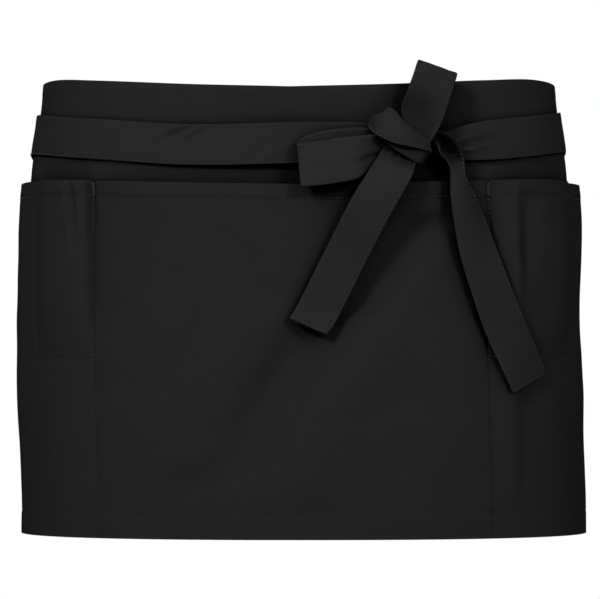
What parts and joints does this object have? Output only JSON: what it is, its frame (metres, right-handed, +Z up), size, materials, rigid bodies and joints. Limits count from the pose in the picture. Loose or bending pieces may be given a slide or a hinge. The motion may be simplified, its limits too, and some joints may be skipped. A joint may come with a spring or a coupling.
{
  "type": "waist apron",
  "caption": "Short black twill waist apron with patch pockets across the front, held by long ties that wrap round the waist and end in a bow on the front",
  "frame": {"origin": "middle of the wearer's waist, level with the middle of the tied belt", "axes": "+X to the right as seen from the front, +Y to the back (the front faces -Y), +Z up"},
  "size_m": [0.3887, 0.2524, 0.3177],
  "materials": {
    "twill": "matt black cotton twill",
    "tie_cloth": "matt black cotton twill, folded double and edge stitched"
  },
  "bodies": {
    "root": {"apron_panel": "twill", "pocket_panel": "twill", "tie_wrap_left": "tie_cloth", "tie_wrap_right": "tie_cloth", "bow_knot": "tie_cloth", "bow_loop_upper": "tie_cloth", "bow_loop_left": "tie_cloth", "tie_end_left": "tie_cloth", "tie_end_right": "tie_cloth"}
  },
  "joints": []
}
